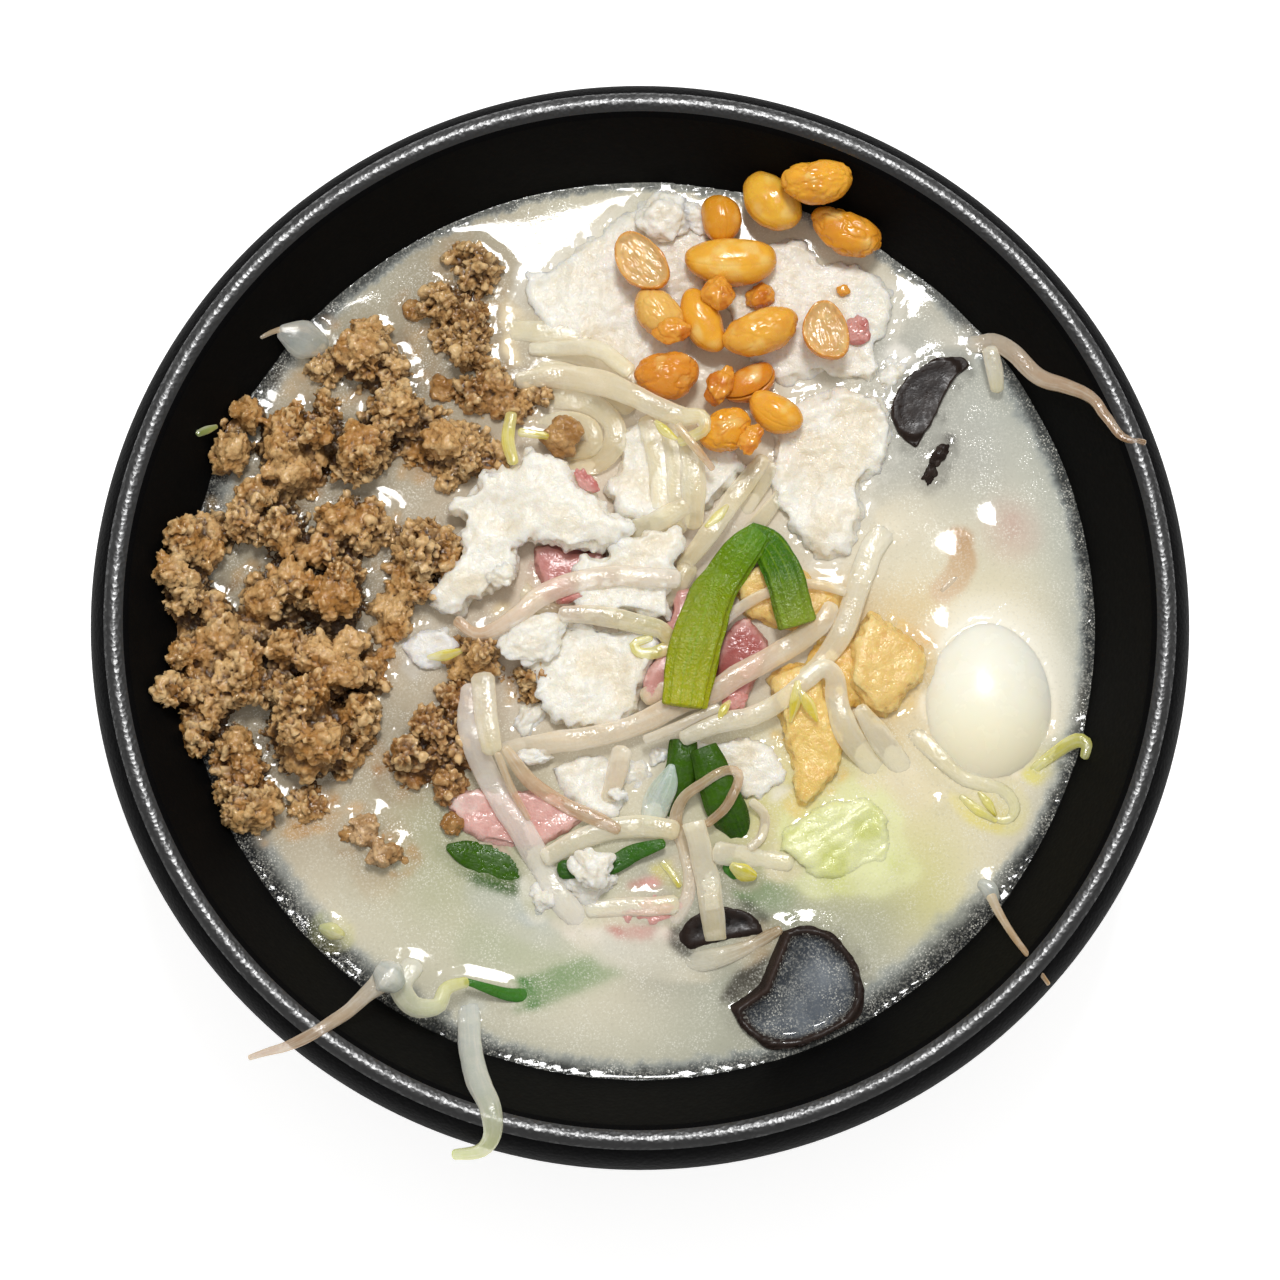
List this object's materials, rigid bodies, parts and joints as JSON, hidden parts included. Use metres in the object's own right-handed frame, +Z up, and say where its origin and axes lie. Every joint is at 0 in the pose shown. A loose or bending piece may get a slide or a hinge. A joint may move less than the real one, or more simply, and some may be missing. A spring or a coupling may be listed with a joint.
{
  "type": "bowl of rice noodle soup",
  "caption": "Dark round bowl of milky rice noodle soup topped with minced meat, white slices, ham, fried tofu, egg, soybeans, wood ear, chive and bean sprouts.",
  "frame": {"origin": "centre of the bowl's foot ring on the table plane", "axes": "+Z up along the bowl's axis, -Y towards the eater, +X to the eater's right"},
  "size_m": [0.196, 0.196, 0.0789],
  "materials": {
    "bowl": "very dark, fine grained, satin",
    "broth": "milky cream grey soup, wet",
    "noodle": "translucent pale rice noodle, wet",
    "egg": "smooth cream egg white, wet",
    "tofu": "golden fried skin, wrinkled",
    "cabbage": "pale yellow-green boiled leaf",
    "ear": "brown-black, smooth and wet",
    "ham": "pink cooked ham",
    "slice": "white flaky fish-paste slice",
    "chive": "bright green ribbed stalk, wet",
    "leaf": "dark green stalk and leaf, wet",
    "leek": "blue-white stalk end",
    "meat": "brown minced meat, wet with oil",
    "bean": "golden roasted soybean",
    "sprout": "cream translucent sprout"
  },
  "bodies": {
    "root": {"bowl": "bowl", "broth": "broth", "noodle_bundle": "noodle", "ham_middle": "ham", "ham_back": "ham", "slice_upper_left": "slice", "slice_right_upper": "slice", "slice_centre": "slice", "slice_right_lower": "slice", "slice_front_centre": "slice", "slice_front_right": "slice", "ham_front": "ham", "cabbage": "cabbage", "wood_ear_back": "ear", "wood_ear_front": "ear", "wood_ear_side": "ear", "tofu_back": "tofu", "tofu_front": "tofu", "tofu_side": "tofu", "quail_egg": "egg", "ham_side": "ham", "slice_middle": "slice", "slice_lower": "slice", "slice_fold": "slice", "slice_small": "slice", "mince_heap": "meat", "mince_upper": "meat", "mince_right": "meat", "mince_lower": "meat", "mince_middle": "meat", "mince_floating": "meat", "bean_a": "bean", "bean_b": "bean", "bean_c": "bean", "bean_d": "bean", "bean_e": "bean", "bean_f": "bean", "bean_g": "bean", "bean_h": "bean", "bean_i": "bean", "bean_j": "bean", "bean_k": "bean", "bean_l": "bean", "bean_m": "bean", "bean_n": "bean", "leaf_left": "leaf", "leek_stub": "leek", "chive_stub_left": "leaf", "chive_stub_right": "leaf", "sprout_back": "sprout", "sprout_side": "sprout", "sprout_bow": "sprout", "sprout_long": "sprout", "sprout_hook": "sprout", "sprout_loop": "sprout", "sprout_lip_right": "sprout", "sprout_lip_left": "sprout", "sprout_lip_front": "sprout", "chive_fold": "chive"}
  },
  "joints": []
}
